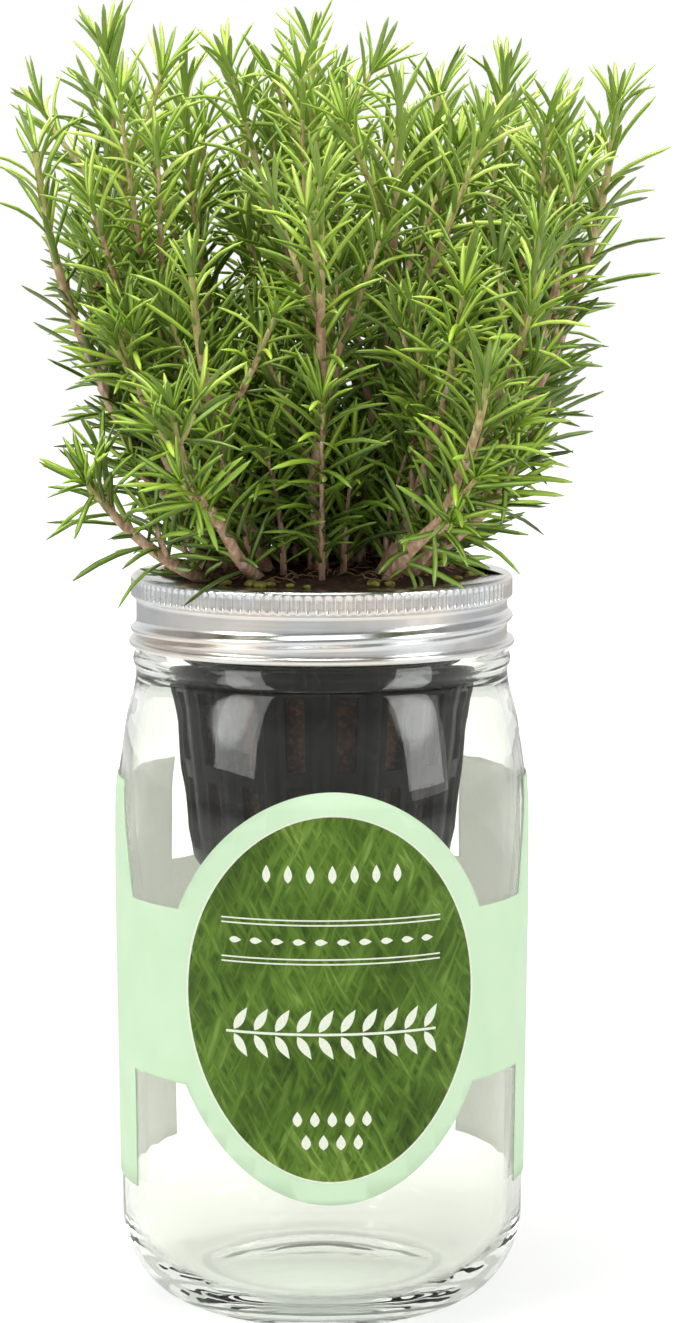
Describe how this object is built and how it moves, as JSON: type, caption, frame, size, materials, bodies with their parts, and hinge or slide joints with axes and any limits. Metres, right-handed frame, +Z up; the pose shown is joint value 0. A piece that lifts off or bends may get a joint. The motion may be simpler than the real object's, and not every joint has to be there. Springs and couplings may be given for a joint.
{
  "type": "hydroponic jar planter",
  "caption": "Clear glass canning jar with a fluted screw band over a slotted net pot, a paper label sleeve, and a bushy rosemary plant rooted in coir.",
  "frame": {"origin": "on the jar's axis, at the surface that the jar stands on", "axes": "+Z up along the jar's axis, -Y towards the middle of the label, +X to the label's right"},
  "size_m": [0.156, 0.142, 0.309],
  "materials": {
    "clear_glass": "clear soda-lime glass, smooth",
    "band_tinplate": "bright tinplate, satin",
    "pot_plastic": "moulded polypropylene, satin",
    "coir": "damp coir, rough and fibrous",
    "label_paper": "coated card, matt",
    "rosemary": "living needles, waxy above and pale below"
  },
  "bodies": {
    "jar": {"glass_jar": "clear_glass", "label_sleeve": "label_paper"},
    "pot": {"net_pot": "pot_plastic", "growing_medium": "coir", "rosemary_sprig_01": "rosemary", "rosemary_sprig_02": "rosemary", "rosemary_sprig_03": "rosemary", "rosemary_sprig_04": "rosemary", "rosemary_sprig_05": "rosemary", "rosemary_sprig_06": "rosemary", "rosemary_sprig_07": "rosemary", "rosemary_sprig_08": "rosemary", "rosemary_sprig_09": "rosemary", "rosemary_sprig_10": "rosemary", "rosemary_sprig_11": "rosemary", "rosemary_sprig_12": "rosemary", "rosemary_sprig_13": "rosemary", "rosemary_sprig_14": "rosemary", "rosemary_sprig_15": "rosemary", "rosemary_sprig_16": "rosemary", "rosemary_sprig_17": "rosemary", "rosemary_sprig_18": "rosemary", "rosemary_sprig_19": "rosemary", "rosemary_sprig_20": "rosemary", "rosemary_sprig_21": "rosemary", "rosemary_sprig_22": "rosemary", "rosemary_sprig_23": "rosemary", "rosemary_sprig_24": "rosemary", "rosemary_sprig_25": "rosemary", "rosemary_sprig_26": "rosemary"},
    "band": {"screw_band": "band_tinplate"}
  },
  "joints": [
    {"name": "pot_lift", "type": "slide", "parent": "jar", "child": "pot", "axis": [0, 0, 1], "range_m": [0, 0.09]},
    {"name": "band_twist", "type": "hinge", "parent": "pot", "child": "band", "pos_m": [0, 0, 0.166], "axis": [0, 0, 1], "range_deg": [0, 450]}
  ]
}
